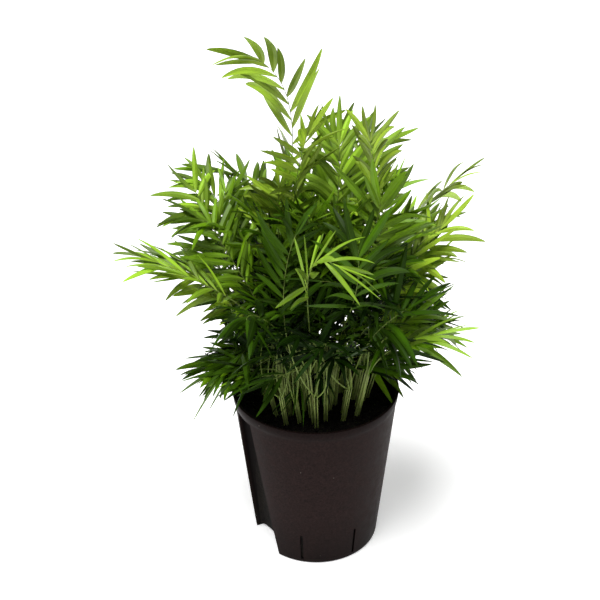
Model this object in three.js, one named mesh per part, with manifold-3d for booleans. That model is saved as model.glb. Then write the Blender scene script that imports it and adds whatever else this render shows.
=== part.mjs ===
// A parlour palm (Chamaedorea elegans) in a tapered plastic pot with a recess for a water gauge.
// Millimetres, +Z up. The origin is the centre of the pot's flat underside.
import * as THREE from "three";
import { mergeVertices } from "three/addons/utils/BufferGeometryUtils.js";
import Module from "manifold-3d";

const wasm = await Module();
wasm.setup();

// Pot
const POT_HEIGHT = 190;
const FOOT_RADIUS = 69;
const TOP_RADIUS = 89;
const RIM_BAND = { height: 11, proud: 1 };
const WALL = 2;
const FLOOR = 3;
const GAP = 0.3;
const POT_SIDES = 48;
const RECESS = { azimuth: 208, height: 176 };
const RECESS_HALF_WIDTH = { foot: 28, top: 14.5 };
const RECESS_DEPTH = { foot: 15, top: 12 };
const RECESS_OVERRUN = 10;
const RECESS_SIDES = 8;
const SLOT = { width: 3, cut: 16, from: 5, to: 41 };
const SLOT_TURNS = [-144, -96, -48, 48, 96, 144];

// Growing medium
const MEDIUM_TOP = 172;

// Stems: seedlings set out over the medium, leaning outwards the further out they stand
const STEM_COUNT = 12;
const STEM_SPREAD = 58;
const STEM_SEED = 11;
const STEM_FIRST_AZIMUTH = 25;
const STEM_LENGTH = [46, 78];
const STEM_LEAN = 17;
const STEM_LEAN_SPREAD = 3;
const STEM_TURN_SPREAD = 25;
const STEM_RADII = [4.2, 3.3, 3.0, 2.7];
const STEM_RING_AT = [0, 0.1, 0.5, 1];
const STEM_SIDES = 6;
const STEM_SAMPLES = 14;
const FROND_PLACES = [45, 135, 225, 315];
const FOOT_SHARE_OF_REACH = 0.42;
const COST_OF_A_NEIGHBOUR = 9;
const GOLDEN_ANGLE = 137.5078;

// Petiole and rachis of a frond
const SHEATH_RADIUS = 2.1;
const PETIOLE_RADIUS = 1.1;
const TIP_RADIUS = 0.5;
const RACHIS_STEPS = 10;
const RACHIS_CORNERS = [90, 210, 330];
const RISE_SHARE = 0.4;
const REACH_SHARE = 0.36;

// Leaflets
const BLADE_SHARE = 0.45;
const LEAFLET_SPACING = 0.22;
const MOST_PAIRS = 9;
const SOLID_PAIRS = 5;
const LEAFLET_WIDTH = 0.19;
const LEAFLET_THICKNESS = 0.016;
const LEAFLET_MIDDLE = 0.42;
const LEAFLET_ROOT = 0.085;
const LEAST_SIZE = 0.62;
const SIZE_SWELL = { from: 0.12, span: 0.72 };
const PAIR_STAGGER = 0.25;
const SPREAD_ANGLE = [58, 34];
const FORK_ANGLE = 16;
const FORK_LENGTH = 0.82;
const FORK_DEPTH = 2;
const LEAFLET_RAISE = 12;
const LEAFLET_SAG = [0.08, 0.36];
const SAG_OF_AN_UPRIGHT_LEAFLET = 0.55;
const ANGLE_VARIATION = 5;
const RAISE_VARIATION = 8;
const LENGTH_VARIATION = [0.93, 1.07];
const LEAFLET_SEED = 1000;
const RAISE_TRIES = [0, 14, -14, 28];
const TOUCH_MARGIN = 0.4;

// Clearance between petioles
const PATH_SAMPLES = 96;
const PATH_CLEARANCE = 3.6;
const SHEATH_CLEARANCE = 2.5;
const CLEARANCE_GROWTH = 0.055;
const STEM_EXTRA = 1.6;
const NUDGE = 4.5;
const NUDGE_TRIES = 24;

// The fronds that give the crown its outline. Each row: where the blade's tip stands round the pot,
// how far out and how high, then the way the blade points there, its pitch, the tilt of its left side
// and its leaflets' length.
const LEADING_FRONDS = [
  // name, azimuth, reach, height, heading, pitch, bank, leaflet, tone
  ["top_middle", 51, 41, 453, 90, 60, -4, 62, "young"],
  ["top_front", 241, 13, 479, 301, 63, 27, 62, "young"],
  ["top_right", 8, 55, 466, 130, 74, -14, 52, "young"],
  ["tall_left", 121, 99, 521, 225, 34, 48, 86, "young"],
  ["top_back", 178, 34, 423, 288, 72, 34, 54, "mid"],
  ["shoulder_right", 3, 75, 417, 70, 38, -27, 53, "mid"],
  ["shoulder_front_right", 20, 44, 372, 76, 61, 31, 55, "mid"],
  ["shoulder_back_left", 155, 98, 400, 56, 49, -16, 57, "young"],
  ["shoulder_left", 158, 119, 407, 122, 47, -16, 58, "young"],
  ["high_left", 165, 124, 405, 133, 44, -31, 57, "young"],
  ["outer_left", 177, 104, 381, 131, 45, -31, 57, "young"],
  ["long_left", 197, 162, 366, 159, 18, 22, 64, "bright"],
  ["middle_left", 181, 92, 308, 175, 17, -29, 57, "mid"],
  ["lower_left", 159, 100, 214, 234, -18, 10, 58, "dark"],
  ["skirt_left", 198, 106, 233, 148, 14, 11, 54, "mid"],
  ["skirt_back_left", 222, 75, 249, 280, 4, 27, 59, "dark"],
  ["small_front_left", 243, 95, 253, 221, 7, 3, 55, "dark"],
  ["long_right", 25, 158, 393, 1, 40, -27, 80, "bright"],
  ["high_right", 7, 130, 368, 45, 51, -16, 61, "bright"],
  ["outer_right", 25, 136, 304, 26, 31, -4, 56, "mid"],
  ["middle_right", 19, 106, 284, 338, -14, -1, 59, "dark"],
  ["lower_back_right", 16, 117, 248, 21, -19, -1, 57, "mid"],
  ["lower_right", 337, 127, 280, 15, 7, -22, 64, "young"],
  ["skirt_back_right", 29, 83, 227, 332, -9, -3, 60, "dark"],
  ["skirt_right", 356, 88, 257, 358, 21, 24, 63, "dark"],
  ["front_upright", 297, 87, 390, 95, 59, -14, 66, "mid"],
  ["front_arch", 280, 118, 392, 358, -35, 3, 56, "young"],
  ["front_right", 314, 99, 288, 262, -2, 12, 66, "dark"],
  ["front_low", 272, 95, 295, 233, -7, 25, 59, "deep"],
  ["front_left", 236, 118, 328, 268, 1, -26, 64, "dark"],
  ["inner_front", 274, 61, 348, 208, 8, -5, 52, "dark"],
  ["inner_right", 11, 98, 360, 22, 38, -13, 66, "mid"],
];

// The fronds that fill the far side, tier by tier: ranges of reach, height and pitch, and leaflets.
const FILLING_COUNT = 13;
const FILLING_TRIES = 90;
const FILLING_SEED = 62;
const FILLING_CENTRE = 90;
const FILLING_SHARE = 0.55;
const FILLING_TURN = 30;
const FILLING_PITCH_SPREAD = 12;
const FILLING_BANK = 20;
const FILLING_TIERS = [
  { reach: [45, 95], height: [385, 440], pitch: 50, leaflet: 60, tone: "mid" },
  { reach: [85, 125], height: [330, 390], pitch: 25, leaflet: 60, tone: "dark" },
  { reach: [105, 140], height: [265, 320], pitch: 0, leaflet: 58, tone: "mid" },
  { reach: [88, 118], height: [218, 250], pitch: -20, leaflet: 54, tone: "dark" },
];

// The petiole starts the more upright the steeper the way to the tip is.
const MOST_RISE = 88;
const RISE_LOSS = 15.6;

const material = (color, roughness) => new THREE.MeshStandardMaterial({ color, roughness, metalness: 0 });
const POT_MATERIAL = material(0x241d1b, 0.6);
const MEDIUM_MATERIAL = material(0x1c1814, 0.95);
const STEM_MATERIAL = material(0x9fb57a, 0.6);
const TONES = {
  bright: material(0x98c434, 0.5),
  young: material(0x7fae2a, 0.5),
  mid: material(0x4c8420, 0.5),
  dark: material(0x2a5a1c, 0.5),
  deep: material(0x1c4014, 0.5),
};

const UP = new THREE.Vector3(0, 0, 1);
const radians = THREE.MathUtils.degToRad;
const degrees = THREE.MathUtils.radToDeg;
const mix = THREE.MathUtils.lerp;
const HANDS = [-1, 1];

// The unit vector at an azimuth round the pot, from +X, and an elevation, in degrees.
function polar(azimuth, elevation = 0) {
  const level = Math.cos(radians(elevation));
  const a = radians(azimuth);
  return new THREE.Vector3(Math.cos(a) * level, Math.sin(a) * level, Math.sin(radians(elevation)));
}

// The smallest turn between two azimuths.
const turnBetween = (a, b) => Math.abs(THREE.MathUtils.euclideanModulo(a - b + 180, 360) - 180);

// A seeded source of numbers between low and high.
function dice(seed) {
  let state = seed;
  return (low, high) => {
    state = (state * 48271) % 2147483647;
    return low + ((high - low) * state) / 2147483647;
  };
}

// The part of a vector across a direction, as a unit vector.
const across = (vector, direction) => vector.clone().projectOnPlane(direction).normalize();

// A closed skin over a row of rings, each counter-clockwise about the way they run; a ring of one
// point is a sharp end.
function loft(rings) {
  const index = [];
  let start = 0;
  rings.slice(0, -1).forEach((ring, i) => {
    const next = rings[i + 1];
    const above = start + ring.length;
    for (let k = 0; k < Math.max(ring.length, next.length); k++) {
      const here = start + ((k + 1) % ring.length);
      if (ring.length > 1) index.push(start + k, here, above + (k % next.length));
      if (next.length > 1) index.push(here, above + ((k + 1) % next.length), above + k);
    }
    start = above;
  });
  for (let k = 1; k < rings[0].length - 1; k++) index.push(0, k + 1, k);
  for (let k = 1; k < rings.at(-1).length - 1; k++) index.push(start, start + k, start + k + 1);
  const geometry = new THREE.BufferGeometry().setFromPoints(rings.flat());
  return geometry.setIndex(index);
}

// A level ring of points about a centre.
function levelRing(centre, radius, sides) {
  const corner = (_, k) => polar((360 * k) / sides).multiplyScalar(radius).add(centre);
  return Array.from({ length: sides }, corner);
}

// A solid of revolution about +Z from points given as [radius, height], from the axis to the axis.
function turned(profile) {
  const points = profile.map(([radius, height]) => new THREE.Vector2(radius, height));
  return new THREE.LatheGeometry(points, POT_SIDES).rotateX(Math.PI / 2);
}

function solid(geometry) {
  const bare = new THREE.BufferGeometry().setAttribute("position", geometry.getAttribute("position"));
  const merged = mergeVertices(bare.setIndex(geometry.index), 1e-4);
  return new wasm.Manifold(
    new wasm.Mesh({
      numProp: 3,
      vertProperties: merged.getAttribute("position").array,
      triVerts: new Uint32Array(merged.index.array),
    }),
  );
}

function addMesh(name, shape, meshMaterial) {
  const { vertProperties, triVerts } = shape.getMesh();
  const geometry = new THREE.BufferGeometry();
  geometry.setAttribute("position", new THREE.BufferAttribute(vertProperties, 3));
  geometry.setIndex(new THREE.BufferAttribute(triVerts, 1));
  geometry.computeVertexNormals();
  const mesh = new THREE.Mesh(geometry, meshMaterial);
  mesh.name = name;
  plant.add(mesh);
}

// Pot and growing medium

const potRadius = (height) => mix(FOOT_RADIUS, TOP_RADIUS, height / POT_HEIGHT);

// The body of the gauge recess, grown all round by a margin, open below and outwards.
function recess(margin) {
  const outward = polar(RECESS.azimuth);
  const sideways = polar(RECESS.azimuth + 90);
  const ring = (height) => {
    const share = height / RECESS.height;
    const halfWidth = mix(RECESS_HALF_WIDTH.foot, RECESS_HALF_WIDTH.top, share) + margin;
    const depth = mix(RECESS_DEPTH.foot, RECESS_DEPTH.top, share) + margin;
    const at = (out, side) =>
      new THREE.Vector3(0, 0, height)
        .addScaledVector(outward, potRadius(height) + out)
        .addScaledVector(sideways, side);
    const curve = Array.from({ length: RECESS_SIDES + 1 }, (_, k) => {
      const turn = (Math.PI * k) / RECESS_SIDES;
      return at(-depth * Math.sqrt(Math.sin(turn)), halfWidth * Math.cos(turn));
    });
    return [at(RECESS_OVERRUN, halfWidth), ...curve, at(RECESS_OVERRUN, -halfWidth)];
  };
  return solid(loft([ring(-RECESS_OVERRUN), ring(RECESS.height + margin)]));
}

function makePot() {
  const bandFoot = POT_HEIGHT - RIM_BAND.height;
  const outside = turned([
    [0, 0],
    [FOOT_RADIUS, 0],
    [potRadius(bandFoot), bandFoot],
    [potRadius(bandFoot) + RIM_BAND.proud, bandFoot + RIM_BAND.proud],
    [TOP_RADIUS + RIM_BAND.proud, POT_HEIGHT],
    [0, POT_HEIGHT],
  ]);
  const inside = turned([
    [0, FLOOR],
    [potRadius(FLOOR) - WALL, FLOOR],
    [potRadius(POT_HEIGHT + WALL) - WALL, POT_HEIGHT + WALL],
    [0, POT_HEIGHT + WALL],
  ]);
  const hollow = solid(inside).subtract(recess(WALL));
  let pot = solid(outside).subtract(recess(0)).subtract(hollow);
  for (const turn of SLOT_TURNS) {
    const slot = new THREE.BoxGeometry(SLOT.cut, SLOT.width, SLOT.to - SLOT.from);
    const middle = (SLOT.from + SLOT.to) / 2;
    slot.translate(potRadius(middle), 0, middle).rotateZ(radians(RECESS.azimuth + turn));
    pot = pot.subtract(solid(slot));
  }
  return pot;
}

function makeMedium() {
  const foot = FLOOR + GAP;
  const inset = WALL + GAP;
  const fill = turned([
    [0, foot],
    [potRadius(foot) - inset, foot],
    [potRadius(MEDIUM_TOP) - inset, MEDIUM_TOP],
    [0, MEDIUM_TOP],
  ]);
  return solid(fill).subtract(recess(inset));
}

// Stems

function layOutStems() {
  const roll = dice(STEM_SEED);
  return Array.from({ length: STEM_COUNT }, (_, i) => {
    const out = STEM_SPREAD * Math.sqrt((i + 0.5) / STEM_COUNT);
    const azimuth = STEM_FIRST_AZIMUTH + i * GOLDEN_ANGLE;
    const foot = polar(azimuth).multiplyScalar(out).setZ(MEDIUM_TOP + GAP);
    const lean = (STEM_LEAN * out) / STEM_SPREAD + roll(-STEM_LEAN_SPREAD, STEM_LEAN_SPREAD);
    const length = roll(...STEM_LENGTH);
    const axis = polar(azimuth + roll(-STEM_TURN_SPREAD, STEM_TURN_SPREAD), 90 - lean);
    const top = foot.clone().addScaledVector(axis, length);
    const places = FROND_PLACES.map((turn) => azimuth + turn);
    return { foot, top, places };
  });
}

function makeStem({ foot, top }) {
  const rings = STEM_RING_AT.map((share, i) =>
    levelRing(foot.clone().lerp(top, share), STEM_RADII[i], STEM_SIDES),
  );
  return solid(loft(rings));
}

// Fronds

// The stem that stands best under a tip, of those with room for one more frond.
function stemUnder(azimuth, reach) {
  const wanted = polar(azimuth).multiplyScalar(Math.min(reach * FOOT_SHARE_OF_REACH, STEM_SPREAD));
  const cost = ({ foot, places }) => {
    const neighbours = FROND_PLACES.length - places.length;
    return Math.hypot(foot.x - wanted.x, foot.y - wanted.y) + COST_OF_A_NEIGHBOUR * neighbours;
  };
  const free = stems.filter((stem) => stem.places.length > 0);
  return free.reduce((best, stem) => (cost(stem) < cost(best) ? stem : best));
}

// The curve from a place on the stem's top to the blade's tip, pushed sideways by a nudge.
function frondCurve(stem, tip, heading, pitch, rise, nudge) {
  const start = degrees(Math.atan2(tip.y - stem.top.y, tip.x - stem.top.x));
  const sideways = polar(start + 90);
  const base = polar(stem.places[0]).multiplyScalar(SHEATH_RADIUS).add(stem.top).addScaledVector(UP, GAP);
  const chord = base.distanceTo(tip);
  const leave = base.clone().addScaledVector(polar(start, rise), RISE_SHARE * chord);
  const arrive = tip.clone().addScaledVector(polar(heading, pitch), -REACH_SHARE * chord);
  leave.addScaledVector(sideways, nudge);
  arrive.addScaledVector(sideways, nudge / 2);
  return new THREE.CubicBezierCurve3(base, leave, arrive, tip);
}

const samples = (curve, count) => Array.from({ length: count }, (_, i) => curve.getPoint(i / (count - 1)));

// Whether a path keeps clear of every stem and petiole so far; petioles of one stem start closer.
function isClear(path, stem) {
  let run = 0;
  return path.every((point, i) => {
    run += i ? point.distanceTo(path[i - 1]) : 0;
    const beside = Math.min(PATH_CLEARANCE, SHEATH_CLEARANCE + CLEARANCE_GROWTH * run);
    return paths.every((other) => {
      if (other.stem === stem && other.extra) return true;
      const need = other.stem === stem ? beside : PATH_CLEARANCE + other.extra;
      return other.points.every((p) => p.distanceToSquared(point) >= need * need);
    });
  });
}

// Grows the path of one frond, or nothing where it finds no clear way.
function grow([name, azimuth, reach, height, heading, pitch, bank, leaflet, tone]) {
  const stem = stemUnder(azimuth, reach);
  const tip = polar(azimuth).multiplyScalar(reach).setZ(height);
  const toward = degrees(Math.atan2(tip.y - stem.top.y, tip.x - stem.top.x));
  stem.places.sort((a, b) => turnBetween(a, toward) - turnBetween(b, toward));
  const rise = MOST_RISE - (RISE_LOSS * reach) / (height - MEDIUM_TOP);
  for (let k = 0; k < NUDGE_TRIES; k++) {
    const nudge = NUDGE * Math.floor((k + 1) / 2) * (k % 2 ? 1 : -1);
    const curve = frondCurve(stem, tip, heading, pitch, rise, nudge);
    const points = samples(curve, PATH_SAMPLES);
    if (!isClear(points, stem)) continue;
    stem.places.shift();
    paths.push({ points, stem, extra: 0 });
    fronds.push({ name, curve, heading, bank, leaflet, tone, number: fronds.length });
    return;
  }
}

function fillTheFarSide() {
  const roll = dice(FILLING_SEED);
  const wanted = fronds.length + FILLING_COUNT;
  for (let i = 0; i < FILLING_TRIES && fronds.length < wanted; i++) {
    const tier = FILLING_TIERS[i % FILLING_TIERS.length];
    const azimuth = FILLING_CENTRE + FILLING_SHARE * (((i * GOLDEN_ANGLE) % 360) - 180);
    const reach = roll(...tier.reach);
    const height = roll(...tier.height);
    const heading = azimuth + roll(-FILLING_TURN, FILLING_TURN);
    const pitch = tier.pitch + roll(-FILLING_PITCH_SPREAD, FILLING_PITCH_SPREAD);
    const bank = roll(-FILLING_BANK, FILLING_BANK);
    grow([`filling_${i + 1}`, azimuth, reach, height, heading, pitch, bank, tier.leaflet, tier.tone]);
  }
}

// The three-sided petiole and rachis, level at its foot.
function makeRachis({ curve, heading, bank }) {
  const side = polar(heading + 90, bank);
  const rings = Array.from({ length: RACHIS_STEPS + 1 }, (_, i) => {
    const share = i / RACHIS_STEPS;
    const forward = i ? curve.getTangent(share) : UP;
    const right = across(side, forward);
    const upper = forward.clone().cross(right);
    const radius = mix(PETIOLE_RADIUS, TIP_RADIUS, share);
    return RACHIS_CORNERS.map((turn) =>
      curve
        .getPoint(share)
        .addScaledVector(right, radius * Math.cos(radians(turn)))
        .addScaledVector(upper, radius * Math.sin(radians(turn))),
    );
  });
  return solid(loft(rings));
}

// One leaflet: a keeled blade that is widest before its middle and sags towards its tip.
function makeLeaflet({ root, direction, upper, length, sag, margin }) {
  const widthways = upper.clone().cross(direction).normalize();
  const droop = sag * mix(SAG_OF_AN_UPRIGHT_LEAFLET, 1, Math.hypot(direction.x, direction.y));
  const point = (share) =>
    root
      .clone()
      .addScaledVector(direction, share * length)
      .addScaledVector(UP, -length * droop * share * share);
  const keel = direction.clone().cross(widthways);
  const ring = (share, size) => {
    const halfWidth = (length * LEAFLET_WIDTH * size) / 2 + margin;
    const depth = length * LEAFLET_THICKNESS * size + margin;
    const corner = (side, rise) => point(share).addScaledVector(widthways, side).addScaledVector(keel, rise);
    return [corner(-halfWidth, margin), corner(0, -depth), corner(halfWidth, margin)];
  };
  return solid(loft([ring(0, LEAFLET_ROOT), ring(LEAFLET_MIDDLE, 1), [point(1)]]));
}

// The point on the middle line of the faceted rachis at a share of its length.
function onRachis(curve, share) {
  const step = Math.min(RACHIS_STEPS - 1, Math.floor(curve.getUtoTmapping(share) * RACHIS_STEPS));
  const from = curve.getPoint(step / RACHIS_STEPS);
  const to = curve.getPoint((step + 1) / RACHIS_STEPS);
  return from.lerp(to, curve.getUtoTmapping(share) * RACHIS_STEPS - step);
}

// Where a frond's leaflets stand: in pairs up the blade, set alternately, and a fork at the tip.
function leafletPlaces({ curve, leaflet }) {
  const length = curve.getLength();
  const spacing = leaflet * LEAFLET_SPACING;
  const pairs = Math.min(MOST_PAIRS, Math.round((BLADE_SHARE * length) / spacing));
  const blade = (pairs * spacing) / length;
  const places = [];
  const solidPairs = Math.min(SOLID_PAIRS, pairs);
  for (let i = 0; i < solidPairs; i++) {
    for (const hand of HANDS) {
      const up = (i + 0.5 + PAIR_STAGGER * hand) / solidPairs;
      const size = mix(LEAST_SIZE, 1, Math.sin(Math.PI * (SIZE_SWELL.from + SIZE_SWELL.span * up)));
      places.push({ share: 1 - blade * (1 - up), hand, angle: mix(...SPREAD_ANGLE, up), size });
    }
  }
  const forkShare = 1 - FORK_DEPTH / length;
  for (const hand of HANDS) places.push({ share: forkShare, hand, angle: FORK_ANGLE, size: FORK_LENGTH });
  return places;
}

function addLeaflets(frond) {
  const roll = dice(LEAFLET_SEED + frond.number);
  for (const { share, hand, angle, size } of leafletPlaces(frond)) {
    const forward = frond.curve.getTangentAt(share);
    const side = across(polar(frond.heading + 90, frond.bank), forward);
    const upper = forward.clone().cross(side);
    const spread = radians(angle + roll(-ANGLE_VARIATION, ANGLE_VARIATION));
    const length = frond.leaflet * size * roll(...LENGTH_VARIATION);
    const raise = LEAFLET_RAISE + roll(-RAISE_VARIATION, RAISE_VARIATION);
    const sag = roll(...LEAFLET_SAG);
    for (const extra of RAISE_TRIES) {
      const lift = radians(raise + extra);
      const direction = forward
        .clone()
        .multiplyScalar(Math.cos(spread))
        .addScaledVector(side, hand * Math.cos(lift) * Math.sin(spread))
        .addScaledVector(upper, Math.sin(lift) * Math.sin(spread));
      const shape = { root: onRachis(frond.curve, share), direction, upper, length, sag };
      if (touches(makeLeaflet({ ...shape, margin: TOUCH_MARGIN }), frond)) continue;
      frond.solid = frond.solid.add(makeLeaflet({ ...shape, margin: 0 }));
      break;
    }
  }
}

// The outer skin of a fused frond: a hollow that crossing leaflets seal is filled.
const outerSkin = (shape) =>
  shape.decompose().reduce((largest, body) => (body.volume() > largest.volume() ? body : largest));

const boxOf = (shape) => {
  const { min, max } = shape.boundingBox();
  return new THREE.Box3(new THREE.Vector3(...min), new THREE.Vector3(...max));
};

// Whether a leaflet would touch anything that isn't its own frond.
function touches(leaflet, frond) {
  const box = boxOf(leaflet);
  return [...fixed, ...fronds].some(
    (other) =>
      other !== frond && boxOf(other.solid).intersectsBox(box) && !leaflet.intersect(other.solid).isEmpty(),
  );
}

const plant = new THREE.Group();
const stems = layOutStems();
const fixed = [
  { name: "pot", solid: makePot(), material: POT_MATERIAL },
  { name: "growing_medium", solid: makeMedium(), material: MEDIUM_MATERIAL },
  ...stems.map((stem, i) => ({ name: `stem_${i + 1}`, solid: makeStem(stem), material: STEM_MATERIAL })),
];

const paths = stems.map((stem) => ({
  stem,
  extra: STEM_EXTRA,
  points: samples(new THREE.LineCurve3(stem.foot, stem.top), STEM_SAMPLES),
}));
const fronds = [];
LEADING_FRONDS.forEach(grow);
fillTheFarSide();
for (const frond of fronds) frond.solid = makeRachis(frond);
fronds.forEach(addLeaflets);

for (const { name, solid: shape, material: finish } of fixed) addMesh(name, shape, finish);
for (const { name, solid: shape, tone } of fronds) addMesh(`frond_${name}`, outerSkin(shape), TONES[tone]);

export default plant;
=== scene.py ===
"""A parlour palm in a tapered hydroculture pot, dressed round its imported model. Metres, +Z up."""

import math

import bmesh
import bpy
import numpy as np
from mathutils import Matrix, Vector


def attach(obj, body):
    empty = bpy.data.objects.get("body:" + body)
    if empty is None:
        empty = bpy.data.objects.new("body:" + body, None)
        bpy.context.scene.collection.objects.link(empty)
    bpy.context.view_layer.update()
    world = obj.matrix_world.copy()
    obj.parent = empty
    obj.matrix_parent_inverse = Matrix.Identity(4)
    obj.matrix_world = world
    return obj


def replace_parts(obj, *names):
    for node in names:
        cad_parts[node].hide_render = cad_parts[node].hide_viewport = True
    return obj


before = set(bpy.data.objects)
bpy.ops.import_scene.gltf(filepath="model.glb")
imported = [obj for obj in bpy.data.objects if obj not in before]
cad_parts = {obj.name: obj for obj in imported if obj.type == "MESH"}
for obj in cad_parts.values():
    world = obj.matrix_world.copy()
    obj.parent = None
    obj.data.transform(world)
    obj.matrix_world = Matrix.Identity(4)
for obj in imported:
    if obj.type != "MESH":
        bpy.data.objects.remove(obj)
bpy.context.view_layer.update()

MM = 0.001
UP = np.array([0.0, 0.0, 1.0])
DICE_FACTOR, DICE_LIMIT = 48271, 2147483647

# Camera: 66 mm on a 36 mm sensor, 1.1 m away and 29 degrees above the horizon
LENS = 66
SENSOR = 36
CAMERA_AT = (-0.01533, -0.99498, 0.84313)
CAMERA_AIM = (-0.01533, 0.0, 0.29488)
CAMERA_ROLL = -0.8257

# Studio: the walls glow at the height of the horizon, and less towards the ceiling
WALL_GLOW = 1.0
WALL_GLOW_TO = 0.3
CEILING_GLOW = 0.17
KEY_STRENGTH = 3.9
KEY_SPREAD = 34
KEY_AT = (-0.3, -0.4, 2.0)
FLOOR_HALF_SIZE = 6
FLOOR_WHITE = (0.93, 0.93, 0.93, 1)
FLOOR_ROUGHNESS = 0.9
FLOOR_GLOW = 0.45
WHITE = (1, 1, 1, 1)

# Pot
POT_HEIGHT = 190 * MM
FOOT_RADIUS = 69 * MM
TOP_RADIUS = 89 * MM
BAND_HEIGHT = 11 * MM
BAND_PROUD = 1 * MM
WALL = 2 * MM
FLOOR = 3 * MM
RECESS_AZIMUTH = 208
RECESS_TOP = 176 * MM
RECESS_HALF_WIDTH = (28 * MM, 14.5 * MM)
RECESS_DEPTH = (15 * MM, 12 * MM)
SLOT_WIDTH = 3 * MM
SLOT_FROM, SLOT_TO = 5 * MM, 41 * MM
SLOT_TURNS = (-144, -96, -48, 48, 96, 144)
FOOT_ROUNDING = 2 * MM
RIM_ROUNDING = 0.7 * MM

# The pot's skin: columns round it, then where its outlines lie. The shares go round the foot, up
# from the slots to the recess's top, and round the rim. Each step of the band is a height from its
# foot, with the share of its thickness there.
RECESS_COLUMNS = 24
LIP_COLUMNS = 5
LIP_ANGLE = 27
WALL_COLUMN_PITCH = 3.75
FOOT_SHARES = (0, 0.35, 0.7, 1)
SLOT_HEIGHTS = (SLOT_FROM, SLOT_FROM + 12 * MM, SLOT_FROM + 24 * MM, SLOT_TO)
WALL_SHARES = (0.2, 0.4, 0.6, 0.8, 0.97, 1)
BAND_STEPS = ((-1 * MM, 0), (0.6 * MM, 0.5), (2 * MM, 1))
RIM_SHARES = (0, 0.5, 1)
CEILING_STEP = 0.01 * MM
INNER_HEIGHTS = (150 * MM, 100 * MM, SLOT_TO, SLOT_FROM, FLOOR)
POT_CREASE = 34

# Growing medium
MEDIUM_TOP = 172 * MM
GAP = 0.3 * MM
GRANULE_COUNT = 760
GRANULE_RADIUS = (2.6, 5.2)
GRANULE_RISE = (-2, 0.6)
GRANULE_LUMPS = (0.9, 1.08)
GRANULE_STRETCH = (0.7, 1.1)
GRANULE_TILT = (-60, 60)
GRANULE_SEED = 5

# Stems, laid out as in the model's source, in millimetres and degrees
STEM_COUNT = 12
STEM_SPREAD = 58
STEM_SEED = 11
STEM_FIRST_AZIMUTH = 25
STEM_LENGTH = (46, 78)
STEM_LEAN = 17
STEM_LEAN_SPREAD = 3
STEM_TURN_SPREAD = 25
STEM_SAMPLES = 14
STEM_FOOT = 172.3
SOIL = 172
FROND_PLACES = (45, 135, 225, 315)
FOOT_SHARE_OF_REACH = 0.42
COST_OF_A_NEIGHBOUR = 9
GOLDEN_ANGLE = 137.5078

# Slimmer seedlings between the stems
SEEDLING_COUNT = 44
SEEDLING_FIRST_AZIMUTH = 85
SEEDLING_SEED = 29
SEEDLING_LENGTH = (30, 60)
SEEDLING_ROOM = 7.5
SEEDLING_GIRTH = 0.7

# Fronds, grown as in the model's source, in millimetres and degrees
SHEATH_OFFSET = 2.1
BASE_GAP = 0.3
MOST_RISE = 88
RISE_LOSS = 15.6
RISE_SHARE = 0.4
REACH_SHARE = 0.36
PATH_SAMPLES = 96
PATH_CLEARANCE = 3.6
SHEATH_CLEARANCE = 2.5
CLEARANCE_GROWTH = 0.055
STEM_EXTRA = 1.6
NUDGE = 4.5
NUDGE_TRIES = 24

LEADING_FRONDS = [
    # name, azimuth, reach, height, heading, pitch, bank, leaflet, tone
    ("top_middle", 51, 41, 453, 90, 60, -4, 62, "young"),
    ("top_front", 241, 13, 479, 301, 63, 27, 62, "bright"),
    ("top_right", 8, 55, 466, 130, 74, -14, 52, "bright"),
    ("tall_left", 121, 99, 521, 225, 34, 48, 86, "crest"),
    ("top_back", 178, 34, 423, 288, 72, 34, 54, "bright"),
    ("shoulder_right", 3, 75, 417, 70, 38, -27, 53, "light_mid"),
    ("shoulder_front_right", 20, 44, 372, 76, 61, 31, 55, "mid"),
    ("shoulder_back_left", 155, 98, 400, 56, 49, -16, 57, "light_mid"),
    ("shoulder_left", 158, 119, 407, 122, 47, -16, 58, "young"),
    ("high_left", 165, 124, 405, 133, 44, -31, 57, "young"),
    ("outer_left", 177, 104, 381, 131, 45, -31, 57, "light_mid"),
    ("long_left", 197, 162, 366, 159, 18, 22, 64, "young"),
    ("middle_left", 181, 92, 308, 175, 17, -29, 57, "bright"),
    ("lower_left", 159, 100, 214, 234, -18, 10, 58, "dark"),
    ("skirt_left", 198, 106, 233, 148, 14, 11, 54, "mid"),
    ("skirt_back_left", 222, 75, 249, 280, 4, 27, 59, "dusky"),
    ("small_front_left", 243, 95, 253, 221, 7, 3, 55, "dusky"),
    ("long_right", 25, 158, 393, 1, 40, -27, 80, "bright"),
    ("high_right", 7, 130, 368, 45, 51, -16, 61, "bright"),
    ("outer_right", 25, 136, 304, 26, 31, -4, 56, "bright"),
    ("middle_right", 19, 106, 284, 338, -14, -1, 59, "dark"),
    ("lower_back_right", 16, 117, 248, 21, -19, -1, 57, "mid"),
    ("lower_right", 337, 127, 280, 15, 7, -22, 64, "young"),
    ("skirt_back_right", 29, 83, 227, 332, -9, -3, 60, "dark"),
    ("skirt_right", 356, 88, 257, 358, 21, 24, 63, "light_mid"),
    ("front_upright", 297, 87, 390, 95, 59, -14, 66, "dark"),
    ("front_arch", 280, 118, 392, 358, -35, 3, 56, "young"),
    ("front_right", 314, 99, 288, 262, -2, 12, 66, "dusky"),
    ("front_low", 272, 95, 295, 233, -7, 25, 59, "deep"),
    ("front_left", 236, 118, 328, 268, 1, -26, 64, "dusky"),
    ("inner_front", 274, 61, 348, 208, 8, -5, 52, "dusky"),
    ("inner_right", 11, 98, 360, 22, 38, -13, 66, "light_mid"),
]

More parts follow.
